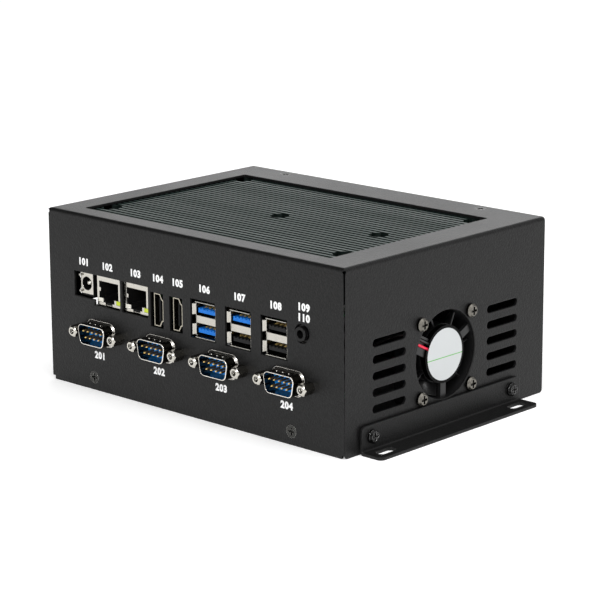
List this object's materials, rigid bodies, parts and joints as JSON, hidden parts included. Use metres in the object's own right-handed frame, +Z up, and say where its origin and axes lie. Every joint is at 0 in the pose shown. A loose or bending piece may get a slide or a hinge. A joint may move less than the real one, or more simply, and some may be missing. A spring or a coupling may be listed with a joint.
{
  "type": "small industrial computer with fan",
  "caption": "Compact black folded steel computer case with a finned heatsink in a top window, front sockets, serial ports, side fan and wall brackets.",
  "frame": {"origin": "centre of the case's footprint at the underside of the bottom plate", "axes": "+X along the width towards the fan side, +Y from the socket panel to the rear wall, +Z up"},
  "size_m": [0.2024, 0.1388, 0.079],
  "materials": {
    "black_coat": "fine textured powder coat",
    "black_screw": "black oxide, satin",
    "steel": "zinc plated",
    "nickel": "bright nickel and tin plate",
    "fins": "satin anodised, grey green",
    "brass_post": "turned brass",
    "green_board": "glass fibre board with green solder mask",
    "copper_plate": "milled copper",
    "dark_plastic": "moulded",
    "drive_metal": "brushed",
    "blue_plastic": "moulded blue insulator",
    "bright_blue_plastic": "moulded bright blue",
    "gold": "gold flash",
    "green_light": "tinted clear plastic",
    "fan_plastic": "glass filled, fine grain",
    "magnet": "bonded ferrite",
    "copper_coil": "enamelled copper wire on iron",
    "bronze": "sintered bronze, oiled",
    "red_wire": "insulation",
    "black_wire": "insulation",
    "white_plastic": "moulded"
  },
  "bodies": {
    "case": {"audio_socket": "dark_plastic", "black_lead": "black_wire", "black_tongues": "dark_plastic", "blue_tongues": "bright_blue_plastic", "board_pillars": "brass_post", "board_sockets": "dark_plastic", "board_spacers": "steel", "bottom_plate": "black_coat", "bracket_screws": "black_screw", "button_body": "nickel", "button_nut": "nickel", "coin_cell": "steel", "countersunk_screws": "black_screw", "cover": "black_coat", "drive": "drive_metal", "fan_bearing": "bronze", "fan_frame": "fan_plastic", "fan_screws": "nickel", "fan_stator": "copper_coil", "heat_plate": "copper_plate", "heatsink": "fins", "heatsink_screws": "steel", "hex_nuts": "steel", "inlet_face": "nickel", "inlet_pin": "nickel", "jackscrews": "nickel", "lead_plug": "white_plastic", "left_bracket": "black_coat", "mainboard": "green_board", "memory_module": "green_board", "network_contacts": "gold", "network_housings": "dark_plastic", "network_lights": "green_light", "network_shell_1": "nickel", "network_shell_2": "nickel", "power_inlet": "dark_plastic", "press_nuts": "steel", "processor": "green_board", "red_lead": "red_wire", "right_bracket": "black_coat", "serial_board": "green_board", "serial_insulators": "blue_plastic", "serial_pins": "gold", "serial_screws": "steel", "serial_shell_1": "nickel", "serial_shell_2": "nickel", "serial_shell_3": "nickel", "serial_shell_4": "nickel", "serial_standoffs": "brass_post", "stacked_shell_1": "nickel", "stacked_shell_2": "nickel", "stacked_shell_3": "nickel", "status_lights": "green_light", "tongue_contacts": "gold", "video_housings": "dark_plastic", "video_shells": "nickel"},
    "rotor": {"fan_rotor": "fan_plastic", "fan_shaft": "steel", "fan_magnet": "magnet"},
    "button": {"button_cap": "steel"}
  },
  "joints": [
    {"name": "fan_spin", "type": "hinge", "parent": "case", "child": "rotor", "pos_m": [0.0826, -0.00165, 0.031], "axis": [1, 0, 0], "continuous": true},
    {"name": "power_button_press", "type": "slide", "parent": "case", "child": "button", "axis": [0, -1, 0], "range_m": [0, 0.0015], "stiffness_N_per_m": 300}
  ]
}
